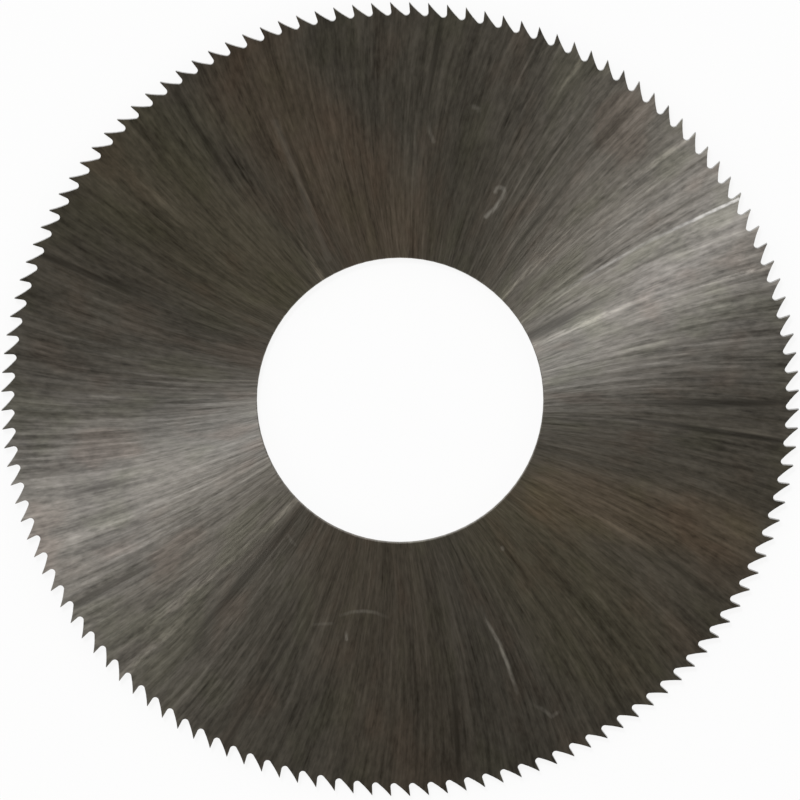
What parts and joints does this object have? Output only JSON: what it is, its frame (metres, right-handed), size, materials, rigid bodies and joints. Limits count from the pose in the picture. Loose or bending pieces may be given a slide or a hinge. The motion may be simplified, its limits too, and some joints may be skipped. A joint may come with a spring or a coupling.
{
  "type": "slitting saw",
  "caption": "Thin flat ring of ground steel with a plain round bore and fine saw teeth all round, clamped on an arbor to cut narrow slots.",
  "frame": {"origin": "on the axis of the bore, in the plane of the side that the saw lies on", "axes": "+Z along the axis of the bore, away from the side that the saw lies on; seen from +Z the teeth point counter-clockwise"},
  "size_m": [0.0442, 0.0442, 0.0006],
  "materials": {
    "ground_steel": "surface ground, with fine lines that run from the bore to the teeth"
  },
  "bodies": {
    "root": {"saw_blade": "ground_steel"}
  },
  "joints": []
}
